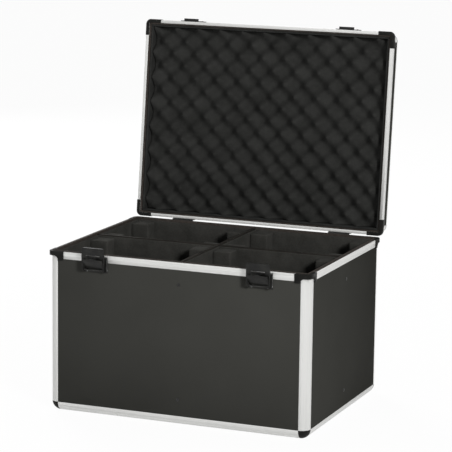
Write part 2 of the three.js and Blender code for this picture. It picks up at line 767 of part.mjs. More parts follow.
// Lever in its own frame: x along the handle from the pivot, y towards its open underside
function lever() {
  const top = -leverRise - leverWall;
  const bend = leverLength - leverLipLength;
  const section = [
    [0, -leverRise],
    [0, top],
    [bend, top],
    [leverLength, top - leverLip],
    [leverLength, top - leverLip + leverWall],
    [bend, -leverRise],
  ];
  const web = solid(acrossX(section, leverWidth));
  const tabShape = new THREE.Shape();
  const tabAngle = Math.asin((tabRadius - tabReach) / tabRadius);
  tabShape.absarc(0, tabReach - tabRadius, tabRadius, Math.PI - tabAngle, tabAngle, true);
  const tabHalf = tabRadius * Math.cos(tabAngle);
  tabShape.lineTo(tabHalf, -leverWall);
  tabShape.lineTo(-tabHalf, -leverWall);
  const tab = prism(tabShape, leverWall);
  tab.translate(0, leverLength, top - leverLip);
  const side = new THREE.Shape();
  side.moveTo(-leverBoss, 0);
  side.absarc(0, 0, leverBoss, Math.PI, Math.PI / 2, true);
  side.lineTo(leverSide, leverBoss);
  side.lineTo(bend, -leverRise);
  side.lineTo(bend, top);
  side.lineTo(0, top);
  const sides = sideWall(side, leverSideTop - leverWall, leverWall);
  let body = web.add(solid(tab)).add(sides);
  const turn = bailArmLean - leverLean;
  const [armAlong, armOff] = [bailArm * Math.cos(turn), bailArm * Math.sin(turn)];
  const pinEnd = bailWidth / 2 + seat;
  for (const hand of [-1, 1]) {
    const [low, high] = [leverSideTop - leverWall, pinEnd].map((x) => hand * x).sort((a, b) => a - b);
    body = body.add(solid(rodAlongX(bailPinRadius, low, high, armAlong, armOff)));
  }
  body = body.subtract(solid(rodAlongX(latchPinRadius + pinPlay, -pinEnd, pinEnd, 0, 0)));
  return geometryOf(body);
}

// Bail, drawn from its own pivots: x outwards, y up
function bail() {
  const top = bailRise + latchPivotDrop - arm.up;
  const half = bailWidth / 2;
  const face = new THREE.Shape();
  const barLow = top - bailBarHeight;
  const legLow = top - bailLegDrop;
  const window = bailWindow / 2;
  face.moveTo(-half, legLow);
  face.lineTo(-window, legLow);
  face.lineTo(-window, barLow);
  face.lineTo(window, barLow);
  face.lineTo(window, legLow);
  face.lineTo(half, legLow);
  face.lineTo(half, top - bailCorner);
  face.absarc(half - bailCorner, top - bailCorner, bailCorner, 0, Math.PI / 2, false);
  face.lineTo(-half + bailCorner, top);
  face.absarc(-half + bailCorner, top - bailCorner, bailCorner, Math.PI / 2, Math.PI, false);
  const front = bailFace - bailWall;
  const panel = laid(prism(face, bailWall), [1, 0, 0], [0, 0, 1], [0, 1, 0], [0, front, 0]);
  const hookBack = bailFace - bailHookDepth;
  const hook = acrossX([
    [bailFace - bailWall / 2, top],
    [hookBack, top],
    [hookBack, top - bailHookDrop],
    [hookBack + bailWall, top - bailHookDrop],
    [hookBack + bailWall, top - bailWall],
    [bailFace - bailWall / 2, top - bailWall],
  ], bailWidth - 2 * bailCorner);
  const cheek = new THREE.Shape();
  cheek.moveTo(-bailFootRadius, 0);
  cheek.absarc(0, 0, bailFootRadius, Math.PI, 1.75 * Math.PI, false);
  cheek.lineTo(bailFace, bailFootRadius);
  cheek.lineTo(bailFace, top - bailCorner);
  cheek.lineTo(bailFace - bailWall, top - bailCorner);
  cheek.lineTo(-bailBack, top - bailCheekDrop);
  cheek.lineTo(-bailFootRadius, bailFootRadius);
  const cheeks = sideWall(cheek, half - bailWall, bailWall);
  const bores = rodAlongX(bailPinRadius + pinPlay, -half - overrun, half + overrun, 0, 0);
  return geometryOf(solid(panel).add(solid(hook)).add(cheeks).subtract(solid(bores)));
}

// Keeper on the lid's front: a plate with an upturned hook under its lower edge
function keeper() {
  const overRim = rimProud + seat;
  const face = overRim + keeperThickness;
  const rimHigh = lidRimFace + seat;
  const plate = solid(acrossX([
    [overRim, keeperOffset],
    [face, keeperOffset],
    [face, keeperHeight],
    [seat, keeperHeight],
    [seat, rimHigh],
    [overRim, rimHigh],
  ], keeperWidth));
  const shelf = solid(acrossX([
    [overRim, keeperOffset],
    [hookReach, keeperOffset],
    [hookReach, keeperOffset + keeperThickness],
    [overRim, keeperOffset + keeperThickness],
  ], hookWidth));
  const half = hookWidth / 2;
  const tipTop = keeperOffset + hookHeight;
  const tip = outline([
    [-half, keeperOffset],
    [half, keeperOffset],
    [half, tipTop - hookCorner],
    [half - hookCorner, tipTop],
    [-half + hookCorner, tipTop],
    [-half, tipTop - hookCorner],
  ]);
  const out = hookReach - keeperThickness;
  const upturn = solid(laid(prism(tip, keeperThickness), [1, 0, 0], [0, 0, 1], [0, 1, 0], [0, out, 0]));
  return geometryOf(plate.add(shelf).add(upturn));
}

function buildLatches() {
  const plate = latchPlate();
  const handle = lever();
  const loop = bail();
  const strike = keeper();
  const lean = [0, -Math.sin(leverLean), Math.cos(leverLean)];
  const under = [0, -Math.cos(leverLean), -Math.sin(leverLean)];
  for (const [hand, sign] of [['left', -1], ['right', 1]]) {
    const x = sign * latchX;
    add('base', `latch_plate_${hand}`, atLatch(plate, x, baseHeight), blackSteel);
    const pivotAt = [x, -halfDepth - pivot.out, pivot.z];
    add(`lever_${hand}`, `latch_lever_${hand}`, laid(handle, [1, 0, 0], lean, under, pivotAt), blackSteel);
    const bailAt = [x, -halfDepth - pivot.out - arm.out, pivot.z + arm.up];
    add(`bail_${hand}`, `latch_bail_${hand}`, laid(loop, [-1, 0, 0], [0, -1, 0], [0, 0, 1], bailAt), blackSteel);
    add('lid', `keeper_${hand}`, atLatch(strike, x, 0), blackSteel);
  }
}

buildBaseShell();
buildRim('base', 'base', baseRimSection(), baseRimFace, tongueHeight, baseHeight, -1);
buildCompartments();
buildLidShell();
buildRim('lid', 'lid', lidRimSection(), lidRimFace, 0, 0, 1);
buildLidFoam();
buildHinges();
buildLatches();

// The lid hangs on its hinge axis, swung open onto the hinges' stops
const lidGroup = new THREE.Group();
lidGroup.position.set(0, hingeAxis.y, hingeAxis.z);
lidGroup.rotation.x = -openAngle;
const lidClosed = new THREE.Group();
lidClosed.position.set(0, -hingeAxis.y, hingeDrop + closingGap);
lidClosed.add(...nodes.lid);
lidGroup.add(lidClosed);

const flightCase = new THREE.Group();
flightCase.name = 'flight_case';
flightCase.add(lidGroup);
for (const body of ['base', 'lever_left', 'lever_right', 'bail_left', 'bail_right']) {
  flightCase.add(...nodes[body]);
}

export default flightCase;
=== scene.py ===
from math import cos, pi, radians, sin

import bmesh
import bpy
from mathutils import Matrix, Vector, noise


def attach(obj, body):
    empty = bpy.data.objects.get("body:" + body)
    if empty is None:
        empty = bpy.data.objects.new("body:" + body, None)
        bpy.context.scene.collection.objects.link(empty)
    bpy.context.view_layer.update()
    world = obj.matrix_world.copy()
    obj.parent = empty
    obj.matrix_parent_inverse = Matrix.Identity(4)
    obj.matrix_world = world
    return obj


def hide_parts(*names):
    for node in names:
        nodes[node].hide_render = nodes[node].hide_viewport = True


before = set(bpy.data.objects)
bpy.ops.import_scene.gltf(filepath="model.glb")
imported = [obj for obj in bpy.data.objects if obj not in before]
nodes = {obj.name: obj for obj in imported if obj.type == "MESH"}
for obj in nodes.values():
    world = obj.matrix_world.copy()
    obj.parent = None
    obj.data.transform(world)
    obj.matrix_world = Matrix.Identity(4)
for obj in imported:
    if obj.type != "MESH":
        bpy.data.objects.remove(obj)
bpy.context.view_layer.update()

MM = 0.001

# Sizes of the case, as in the CAD frame
HALF_WIDTH = 275 * MM
HALF_DEPTH = 208 * MM
BASE_HEIGHT = 326 * MM
LID_HEIGHT = 48.5 * MM
OPEN_ANGLE = radians(96.4)
HINGE_DROP = 2 * MM
HINGE = Vector((0, HALF_DEPTH + 5 * MM, BASE_HEIGHT - HINGE_DROP))
MATING_GAP = 0.4 * MM
EDGE_RADIUS = 19 * MM
PANEL = 7 * MM
SEAT = 0.3 * MM
TOLERANCE = 0.05 * MM
LINED_FACE = PANEL + 1.8 * MM
CORNERS = {
    "front_left": (-1, -1),
    "front_right": (1, -1),
    "rear_left": (-1, 1),
    "rear_right": (1, 1),
}

# The lid's own frame: closed, with z rising from its mating face, carried to its open place
LID_TO_ROW = (
    Matrix.Translation(HINGE)
    @ Matrix.Rotation(-OPEN_ANGLE, 4, "X")
    @ Matrix.Translation(Vector((0, -HINGE.y, HINGE_DROP + MATING_GAP)))
)
ROW_TO_LID = LID_TO_ROW.inverted()
LID_TURN = LID_TO_ROW.to_3x3()

# Camera at the photograph's viewing angle
CAMERA_PLACE = (1.7382, -4.2631, 1.2323)
CAMERA_YAW, CAMERA_PITCH, CAMERA_ROLL = radians(21.978), radians(10.697), radians(0.732)
CAMERA_LENS, CAMERA_SENSOR = 185.36, 36


def add_camera():
    yaw, pitch, roll = CAMERA_YAW, CAMERA_PITCH, CAMERA_ROLL
    forward = Vector((-sin(yaw) * cos(pitch), cos(yaw) * cos(pitch), -sin(pitch)))
    level = Vector((cos(yaw), sin(yaw), 0))
    upright = level.cross(forward)
    right = cos(roll) * level + sin(roll) * upright
    up = -sin(roll) * level + cos(roll) * upright
    data = bpy.data.cameras.new("camera")
    data.sensor_width = CAMERA_SENSOR
    data.lens = CAMERA_LENS
    camera = bpy.data.objects.new("camera", data)
    bpy.context.scene.collection.objects.link(camera)
    turn = Matrix((right, up, -forward)).transposed().to_4x4()
    camera.matrix_world = Matrix.Translation(CAMERA_PLACE) @ turn
    bpy.context.scene.camera = camera


add_camera()
bpy.context.scene.view_settings.view_transform = "Standard"


class Shader:
    """One procedural material and short calls for the nodes that it is made of."""

    def __init__(self, name):
        self.material = bpy.data.materials.new(name)
        self.material.use_nodes = True
        self.tree = self.material.node_tree
        self.bsdf = self.tree.nodes["Principled BSDF"]

    def node(self, kind, inputs=None, **settings):
        made = self.tree.nodes.new(kind)
        for key, value in settings.items():
            setattr(made, key, value)
        for key, value in (inputs or {}).items():
            if isinstance(value, bpy.types.NodeSocket):
                self.tree.links.new(value, made.inputs[key])
            else:
                made.inputs[key].default_value = value
        return made

    def coords(self, lid=False):
        place = self.node("ShaderNodeTexCoord").outputs["Object"]
        if not lid:
            return place
        mapping = self.node("ShaderNodeMapping", {"Vector": place})
        mapping.inputs["Location"].default_value = ROW_TO_LID.to_translation()
        mapping.inputs["Rotation"].default_value = ROW_TO_LID.to_euler()
        return mapping.outputs["Vector"]

    def stretch(self, place, scale):
        return self.node("ShaderNodeMapping", {"Vector": place, "Scale": scale}).outputs["Vector"]

    def noise(self, place, scale, detail=3.0, roughness=0.55):
        inputs = {"Vector": place, "Scale": scale, "Detail": detail, "Roughness": roughness}
        return self.node("ShaderNodeTexNoise", inputs).outputs["Fac"]

    def cells(self, place, scale, feature="F1"):
        made = self.node("ShaderNodeTexVoronoi", {"Vector": place, "Scale": scale}, feature=feature)
        return made.outputs["Distance"]

    def remap(self, value, low, high, to_low, to_high):
        inputs = {
            "Value": value,
            "From Min": low,
            "From Max": high,
            "To Min": to_low,
            "To Max": to_high,
        }
        return self.node("ShaderNodeMapRange", inputs).outputs["Result"]

    def math(self, operation, a, b=0.0, c=0.0):
        made = self.node("ShaderNodeMath", operation=operation)
        for socket, value in zip(made.inputs, (a, b, c)):
            if isinstance(value, bpy.types.NodeSocket):
                self.tree.links.new(value, socket)
            else:
                socket.default_value = value
        return made.outputs["Value"]

    def blend(self, factor, a, b):
        made = self.node("ShaderNodeMix", data_type="RGBA")
        for index, value in ((0, factor), (6, a), (7, b)):
            if isinstance(value, bpy.types.NodeSocket):
                self.tree.links.new(value, made.inputs[index])
            elif index == 0:
                made.inputs[index].default_value = value
            else:
                made.inputs[index].default_value = (*value, 1)
        return made.outputs[2]

    def tint(self, value, low, high, dark, light):
        return self.blend(self.remap(value, low, high, 0, 1), dark, light)

    def bump(self, height, strength, distance):
        inputs = {"Height": height, "Strength": strength, "Distance": distance}
        return self.node("ShaderNodeBump", inputs).outputs["Normal"]

    def finish(self, **inputs):
        for key, value in inputs.items():
            socket = self.bsdf.inputs[key.replace("_", " ")]
            if isinstance(value, bpy.types.NodeSocket):
                self.tree.links.new(value, socket)
            else:
                socket.default_value = value
        return self.material


def laminate():
    s = Shader("laminate")
    place = s.coords()
    grain = s.cells(place, 950, feature="SMOOTH_F1")
    fine = s.noise(place, 1800, 2)
    broad = s.noise(place, 9, 4)
    tone = s.math("MULTIPLY_ADD", fine, 0.5, s.math("MULTIPLY", broad, 0.5))
    color = s.tint(tone, 0.35, 0.65, (0.0385, 0.0385, 0.0348), (0.0435, 0.0435, 0.0394))
    rough = s.remap(broad, 0.3, 0.7, 0.5, 0.6)
    rise = s.math("ADD", s.math("MULTIPLY", grain, 0.7), s.math("MULTIPLY", fine, 0.5))
    normal = s.bump(rise, 0.35, 0.0004)
    return s.finish(Base_Color=color, Roughness=rough, Normal=normal, Specular_IOR_Level=0.0)


def aluminium(axis, lid=False):
    """Brushed along the axis of the profile. On a rim, the brushing turns at the mitres."""
    s = Shader(f"aluminium_{axis}{'_lid' if lid else ''}")
    place = s.coords(lid)
    along = {"x": (9, 1300, 1300), "y": (1300, 9, 1300), "z": (1300, 1300, 9)}
    if axis == "rim":
        split = s.node("ShaderNodeSeparateXYZ", {"Vector": place})
        past_side = s.math("SUBTRACT", s.math("ABSOLUTE", split.outputs["X"]), HALF_WIDTH)
        past_front = s.math("SUBTRACT", s.math("ABSOLUTE", split.outputs["Y"]), HALF_DEPTH)
        on_side = s.math("GREATER_THAN", past_side, past_front)
        lines_x = s.noise(s.stretch(place, along["x"]), 1, 3)
        lines_y = s.noise(s.stretch(place, along["y"]), 1, 3)
        mixed = s.node("ShaderNodeMix", {0: on_side, 2: lines_x, 3: lines_y})
        lines = mixed.outputs[0]
    else:
        lines = s.noise(s.stretch(place, along[axis]), 1, 3)
    haze = s.noise(place, 14, 3)
    brushed = s.remap(lines, 0.3, 0.7, 0.42, 0.54)
    rough = s.math("ADD", brushed, s.remap(haze, 0.3, 0.7, -0.03, 0.05))
    color = s.tint(lines, 0.3, 0.7, (0.6, 0.6, 0.585), (0.69, 0.69, 0.675))
    normal = s.bump(lines, 0.12, 0.00012)
    return s.finish(Base_Color=color, Roughness=rough, Normal=normal, Metallic=0.36)


# A dark brownish colour laid on the rims' own mating and inner faces, with no separate seal piece
# under it.
def dark_rim_face(lid=False):
    s = Shader(f"dark_rim_face{'_lid' if lid else ''}")
    place = s.coords(lid)
    smear = s.noise(place, 120, 4)
    color = s.tint(smear, 0.35, 0.65, (0.030, 0.026, 0.023), (0.048, 0.041, 0.036))
    rough = s.remap(smear, 0.3, 0.7, 0.5, 0.65)
    normal = s.bump(smear, 0.2, 0.0002)
    return s.finish(Base_Color=color, Roughness=rough, Normal=normal, Specular_IOR_Level=0.05)


def moulding():
    s = Shader("moulding")
    place = s.coords()
    texture = s.noise(place, 1500, 2)
    wear = s.noise(place, 60, 5)
    color = s.tint(wear, 0.4, 0.7, (0.010, 0.010, 0.0093), (0.019, 0.019, 0.0175))
    rough = s.remap(wear, 0.3, 0.7, 0.36, 0.5)
    normal = s.bump(texture, 0.15, 0.0002)
    return s.finish(Base_Color=color, Roughness=rough, Normal=normal, Specular_IOR_Level=0.05)


def powder_coat():
    s = Shader("powder_coat")
    place = s.coords()
    peel = s.noise(place, 900, 2)
    dust = s.noise(place, 45, 5)
    color = s.tint(dust, 0.45, 0.7, (0.012, 0.012, 0.0115), (0.024, 0.024, 0.022))
    rough = s.remap(peel, 0.3, 0.7, 0.3, 0.42)
    normal = s.bump(peel, 0.2, 0.0002)
    return s.finish(Base_Color=color, Roughness=rough, Normal=normal, Specular_IOR_Level=0.15)


def passivated():
    s = Shader("passivated_steel")
    place = s.coords()
    cloud = s.noise(place, 160, 4)
    color = s.tint(cloud, 0.35, 0.65, (0.06, 0.06, 0.058), (0.11, 0.11, 0.105))
    rough = s.remap(cloud, 0.3, 0.7, 0.34, 0.5)
    normal = s.bump(cloud, 0.15, 0.0002)
    return s.finish(Base_Color=color, Roughness=rough, Metallic=0.7, Normal=normal)


def bright_steel():
    s = Shader("bright_steel")
    place = s.coords()
    marks = s.noise(place, 900, 3)
    color = s.tint(marks, 0.35, 0.65, (0.32, 0.32, 0.31), (0.5, 0.5, 0.49))
    rough = s.remap(marks, 0.3, 0.7, 0.25, 0.4)
    normal = s.bump(marks, 0.1, 0.0001)
    return s.finish(Base_Color=color, Roughness=rough, Metallic=0.8, Normal=normal)


def foam(name, dark, light, scale):
    s = Shader(name)
    place = s.coords()
    pores = s.cells(place, scale)
    fuzz = s.noise(place, scale * 0.8, 4, 0.65)
    patches = s.noise(place, 24, 6, 0.68)
    tone = s.math("ADD", s.math("MULTIPLY", fuzz, 0.45), s.math("MULTIPLY", patches, 0.55))
    color = s.tint(tone, 0.38, 0.64, dark, light)
    rise = s.math("SUBTRACT", fuzz, s.math("MULTIPLY", pores, 0.6))
    normal = s.bump(rise, 0.4, 0.0005)
    return s.finish(
        Base_Color=color, Roughness=0.95, Normal=normal, Specular_IOR_Level=0.01,
        Sheen_Weight=0.01, Sheen_Roughness=0.5,
    )


def stained_plywood():
    s = Shader("stained_plywood")
    place = s.coords()
    figure = s.noise(s.stretch(place, (30, 30, 700)), 1, 5)
    color = s.tint(figure, 0.35, 0.65, (0.012, 0.011, 0.010), (0.026, 0.024, 0.021))
    normal = s.bump(figure, 0.25, 0.0003)
    return s.finish(Base_Color=color, Roughness=0.6, Normal=normal, Specular_IOR_Level=0.02)


def screw_black():
    s = Shader("blackened_screw")
    place = s.coords()
    marks = s.noise(place, 700, 4)
    color = s.tint(marks, 0.4, 0.7, (0.02, 0.02, 0.02), (0.05, 0.05, 0.05))
    rough = s.remap(marks, 0.3, 0.7, 0.25, 0.45)
    normal = s.bump(marks, 0.1, 0.0001)
    return s.finish(Base_Color=color, Roughness=rough, Metallic=0.6, Normal=normal)


LAMINATE = laminate()
ALUMINIUM = {key: aluminium(key) for key in ("x", "y", "z", "rim")}
ALUMINIUM_LID = {key: aluminium(key, lid=True) for key in ("x", "y", "z", "rim")}
MOULDING = moulding()
POWDER_COAT = powder_coat()
DARK_RIM_FACE = dark_rim_face()
DARK_RIM_FACE_LID = dark_rim_face(lid=True)
PASSIVATED = passivated()
BRIGHT_STEEL = bright_steel()
LID_FOAM = foam("egg_crate_foam", (0.0180, 0.0182, 0.0172), (0.0325, 0.0327, 0.0311), 700)
LINING_FOAM = foam("lining_foam", (0.029, 0.0288, 0.026), (0.054, 0.0528, 0.0485), 800)
PLYWOOD = stained_plywood()
SCREW = screw_black()


# Dressing of the CAD nodes
def material_for(name):
    if name.endswith("_panel"):
        return LAMINATE
    if name == "base_rim":
        return ALUMINIUM["rim"]
    if name == "lid_rim":
        return ALUMINIUM_LID["rim"]
    if name.startswith("corner_post"):
        return ALUMINIUM["z"]
    if name.startswith("lid_corner"):
        return ALUMINIUM_LID["z"]
    if name.startswith(("bottom_edge", "lid_edge")):
        bank = ALUMINIUM_LID if name.startswith("lid") else ALUMINIUM
        return bank["x" if name.endswith(("front", "rear")) else "y"]
    if "corner" in name:
        return MOULDING
    if name.startswith("divider"):
        return PLYWOOD
    if "foam" in name:
        return LINING_FOAM
    if name.startswith("latch_plate"):
        return PASSIVATED
    return POWDER_COAT


def smooth_by_angle(limit):
    tree = bpy.data.node_groups.new("smooth_by_angle", "GeometryNodeTree")
    tree.interface.new_socket("Geometry", in_out="INPUT", socket_type="NodeSocketGeometry")
    tree.interface.new_socket("Geometry", in_out="OUTPUT", socket_type="NodeSocketGeometry")
    start = tree.nodes.new("NodeGroupInput")
    end = tree.nodes.new("NodeGroupOutput")
    angle = tree.nodes.new("GeometryNodeInputMeshEdgeAngle")
    compare = tree.nodes.new("FunctionNodeCompare")
    compare.data_type = "FLOAT"
    compare.operation = "LESS_THAN"
    compare.inputs["B"].default_value = limit
    edges = tree.nodes.new("GeometryNodeSetShadeSmooth")
    edges.domain = "EDGE"
    faces = tree.nodes.new("GeometryNodeSetShadeSmooth")
    faces.domain = "FACE"
    faces.inputs["Shade Smooth"].default_value = True
    tree.links.new(angle.outputs["Unsigned Angle"], compare.inputs["A"])
    tree.links.new(start.outputs[0], faces.inputs["Geometry"])
    tree.links.new(faces.outputs[0], edges.inputs["Geometry"])
    tree.links.new(compare.outputs["Result"], edges.inputs["Shade Smooth"])
    tree.links.new(edges.outputs[0], end.inputs[0])
    return tree


SMOOTH = smooth_by_angle(radians(32))
WELD_REACH = 0.004 * MM
FLAT_ANGLE = radians(0.4)
BEVEL_ANGLE = radians(35)


def soften(obj, width):
    """Joins the solid's triangles into flat faces and breaks its sharp edges."""
    weld = obj.modifiers.new("weld", "WELD")
    weld.merge_threshold = WELD_REACH
    flat = obj.modifiers.new("flatten", "DECIMATE")
    flat.decimate_type = "DISSOLVE"
    flat.angle_limit = FLAT_ANGLE
    flat.delimit = {"MATERIAL"}
    bevel = obj.modifiers.new("bevel", "BEVEL")
    bevel.width = width
    bevel.segments = 2
    bevel.limit_method = "ANGLE"
    bevel.angle_limit = BEVEL_ANGLE
    bevel.harden_normals = True
    obj.modifiers.new("shade", "NODES").node_group = SMOOTH


EXTRUSIONS_AND_ENDS = ("corner_post", "bottom_edge", "lid_edge", "lid_corner", "bottom_corner")


def bevel_width(name):
    if name.endswith("_panel"):
        return 0.35 * MM
    if name in ("base_rim", "lid_rim"):
        return 0.2 * MM
    if name.startswith(EXTRUSIONS_AND_ENDS):
        return 0.18 * MM
    if "rim_corner" in name:
        return 0.4 * MM
    if name.startswith("divider"):
        return 0.3 * MM
    return 0.22 * MM


for name, obj in nodes.items():
    obj.data.materials.clear()
    obj.data.materials.append(material_for(name))
    if "custom_normal" in obj.data.attributes:
        obj.data.attributes.remove(obj.data.attributes["custom_normal"])
    soften(obj, bevel_width(name))


def paint_faces(node, material, wanted):
    """Gives a second material to the faces whose centres are wanted."""
    mesh = nodes[node].data
    mesh.materials.append(material)
    for face in mesh.polygons:
        face.material_index = 1 if wanted(face.center) else 0


# The lid's corner pieces: a black ball end on a short aluminium post
BALL_END = LID_HEIGHT - EDGE_RADIUS + 0.22 * MM
for corner in CORNERS:
    paint_faces(f"lid_corner_{corner}", MOULDING, lambda at: (ROW_TO_LID @ at).z > BALL_END)

# The latch plates are blackened below the lever's pin
BLACKENED_BELOW = BASE_HEIGHT - 30 * MM
for hand in ("left", "right"):
    paint_faces(f"latch_plate_{hand}", POWDER_COAT, lambda at: at.z < BLACKENED_BELOW)

# The mating and inner faces of both rims are dark inside the bright outer lip
LIP_X, LIP_Y = HALF_WIDTH - 5.5 * MM, HALF_DEPTH - 5.5 * MM


def inside_lip(at):
    return abs(at.x) < LIP_X + TOLERANCE and abs(at.y) < LIP_Y + TOLERANCE


paint_faces(
    "base_rim", DARK_RIM_FACE, lambda at: at.z > BASE_HEIGHT - 2 * TOLERANCE or inside_lip(at)
)
paint_faces("lid_rim", DARK_RIM_FACE_LID, lambda at: inside_lip(ROW_TO_LID @ at))


def piece(name, points, faces, material, body):
    """A visible piece made from points and faces, which rides on a body."""
    mesh = bpy.data.meshes.new(name)
    mesh.from_pydata([tuple(p) for p in points], [], faces)
    mesh.validate()
    mesh.materials.append(material)
    mesh.polygons.foreach_set("use_smooth", [True] * len(mesh.polygons))
    obj = bpy.data.objects.new(name, mesh)
    bpy.context.scene.collection.objects.link(obj)
    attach(obj, body)
    return obj


def stations(low, high, radius, step):
    """Places along one edge of a rounded block: close together over the rounding, then even."""
    bend = [radius * share for share in (0, 0.12, 0.42, 1)]
    straight = high - low - 2 * radius
    count = max(1, round(straight / step))
    middle = [low + radius + straight * i / count for i in range(1, count)]
    return [low + b for b in bend] + middle + [high - b for b in reversed(bend)]


RIPPLE_SCALE = 55


def rounded_block(low, high, radius, step, ripple, seed):
    """Points and faces of a closed block with rounded edges and a slightly uneven surface."""
    axes = [stations(low[k], high[k], radius, step) for k in range(3)]
    index = {}
    points = []
    faces = []

    def corner(ijk):
        if ijk in index:
            return index[ijk]
        raw = Vector([axes[k][ijk[k]] for k in range(3)])
        core = Vector([min(max(raw[k], low[k] + radius), high[k] - radius) for k in range(3)])
        out = (raw - core).normalized()
        point = core + out * radius
        place = point * RIPPLE_SCALE + Vector((seed, seed, seed))
        point = point + out * ripple * noise.noise(place)
        index[ijk] = len(points)
        points.append(point)
        return index[ijk]

    counts = [len(a) for a in axes]
    for axis in range(3):
        u, v = (axis + 1) % 3, (axis + 2) % 3
        for end in (0, counts[axis] - 1):
            for i in range(counts[u] - 1):
                for j in range(counts[v] - 1):
                    ring = []
                    for di, dj in ((0, 0), (1, 0), (1, 1), (0, 1)):
                        ijk = [0, 0, 0]
                        ijk[axis], ijk[u], ijk[v] = end, i + di, j + dj
                        ring.append(corner(tuple(ijk)))
                    faces.append(ring if end else ring[::-1])
    return points, faces


# Foam linings of the compartments: sheets on the walls and the floor, and a pad in each corner
LINING = 3 * MM
LINING_TOP = BASE_HEIGHT - 4 * MM
PAD_TOP = BASE_HEIGHT - 7 * MM
PAD_WIDTH = 38 * MM
PAD_DEPTH = 36 * MM
DIVIDER_FACE = 3.8 * MM
FLOOR = LINED_FACE
SHEET_GAP = 0.2 * MM

# Rounding of the edges, spacing of the points and unevenness of each kind of foam piece
LINING_SHAPE = (0.8 * MM, 12 * MM, 0.15 * MM)
PAD_SHAPE = (2.2 * MM, 6 * MM, 0.5 * MM)
STRIP_SHAPE = (1.1 * MM, 8 * MM, 0.3 * MM)


def mirrored(points, faces, sx, sy):
    moved = [Vector((p.x * sx, p.y * sy, p.z)) for p in points]
    return moved, ([f[::-1] for f in faces] if sx * sy < 0 else faces)


def merged(parts):
    points, faces = [], []
    for some_points, some_faces in parts:
        start = len(points)
        points.extend(some_points)
        faces.extend([[i + start for i in f] for f in some_faces])
    return points, faces


def line_compartment(corner, sx, sy):
    near_x, far_x = DIVIDER_FACE, HALF_WIDTH - LINED_FACE
    near_y, far_y = DIVIDER_FACE, HALF_DEPTH - LINED_FACE
    clear = LINING + SHEET_GAP
    low_in, high_in = near_x + clear, far_x - clear
    sheets = [
        ((near_x, near_y, FLOOR), (near_x + LINING, far_y, LINING_TOP)),
        ((far_x - LINING, near_y, FLOOR), (far_x, far_y, LINING_TOP)),
        ((low_in, near_y, FLOOR), (high_in, near_y + LINING, LINING_TOP)),
        ((low_in, far_y - LINING, FLOOR), (high_in, far_y, LINING_TOP)),
        ((low_in, near_y + clear, FLOOR), (high_in, far_y - clear, FLOOR + LINING)),
    ]
    parts = [
        mirrored(*rounded_block(low, high, *LINING_SHAPE, 3.1 * i), sx, sy)
        for i, (low, high) in enumerate(sheets)
    ]
    lining = piece(f"lining_{corner}", *merged(parts), LINING_FOAM, "case_base")
    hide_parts(f"foam_insert_{corner}")
    spots = {"a": (0, 0), "b": (1, 0), "c": (0, 1), "d": (1, 1)}
    for key, (at_x, at_y) in spots.items():
        low_x = far_x - clear - PAD_WIDTH if at_x else near_x + clear
        low_y = far_y - clear - PAD_DEPTH if at_y else near_y + clear
        low = (low_x, low_y, FLOOR + clear)
        high = (low_x + PAD_WIDTH, low_y + PAD_DEPTH, PAD_TOP)
        seed = 10 * at_x + 20 * at_y + 40 * sx + 80 * sy
        shape = mirrored(*rounded_block(low, high, *PAD_SHAPE, seed), sx, sy)
        pad = piece(f"corner_pad_{corner}_{key}", *shape, LINING_FOAM, "case_base")


for corner, (sx, sy) in CORNERS.items():
    line_compartment(corner, sx, sy)


# Foam of the lid: an egg-crate sheet inside a thin strip of lining
FOAM_BACK = LID_HEIGHT - LINED_FACE
FOAM_EDGE = 4.2 * MM
FOAM_STEP = 3 * MM
FOAM_PITCH = (50 * MM, 52.1 * MM)
FOAM_CREST = (-208.4 * MM, -193 * MM)
FOAM_TURN = radians(-0.26)
FOAM_MEAN = 15.4 * MM
FOAM_SWING = 10.2 * MM
FOAM_SHARPNESS = 0.66
SWING_SPREAD = 0.05
WOBBLE_SCALE, WOBBLE_REACH = 14, 0.16
SURFACE_SCALE, SURFACE_REACH = 160, 0.35 * MM


def uneven(x, y, scale, seed):
    return noise.noise(Vector((x * scale, y * scale, seed)))


def foam_depth(x, y):
    """Height of the egg-crate surface in the lid's own frame: narrow crests and broad hollows."""
    turned_x = x * cos(FOAM_TURN) + y * sin(FOAM_TURN)
    turned_y = -x * sin(FOAM_TURN) + y * cos(FOAM_TURN)
    u = 2 * pi * (turned_x - FOAM_CREST[0]) / FOAM_PITCH[0]
    v = 2 * pi * (turned_y - FOAM_CREST[1]) / FOAM_PITCH[1]
    wobble = uneven(x, y, WOBBLE_SCALE, 1.5)
    u += WOBBLE_REACH * wobble
    v += WOBBLE_REACH * uneven(x, y, WOBBLE_SCALE, 7.5)
    wave = cos(u) * cos(v)
    wave = 1 - 2 * ((1 - wave) / 2) ** FOAM_SHARPNESS
    rough = SURFACE_REACH * uneven(x, y, SURFACE_SCALE, 3.5)
    return FOAM_MEAN - FOAM_SWING * wave * (1 + SWING_SPREAD * wobble) + rough


def lid_point(x, y, z):
    return LID_TO_ROW @ Vector((x, y, z))


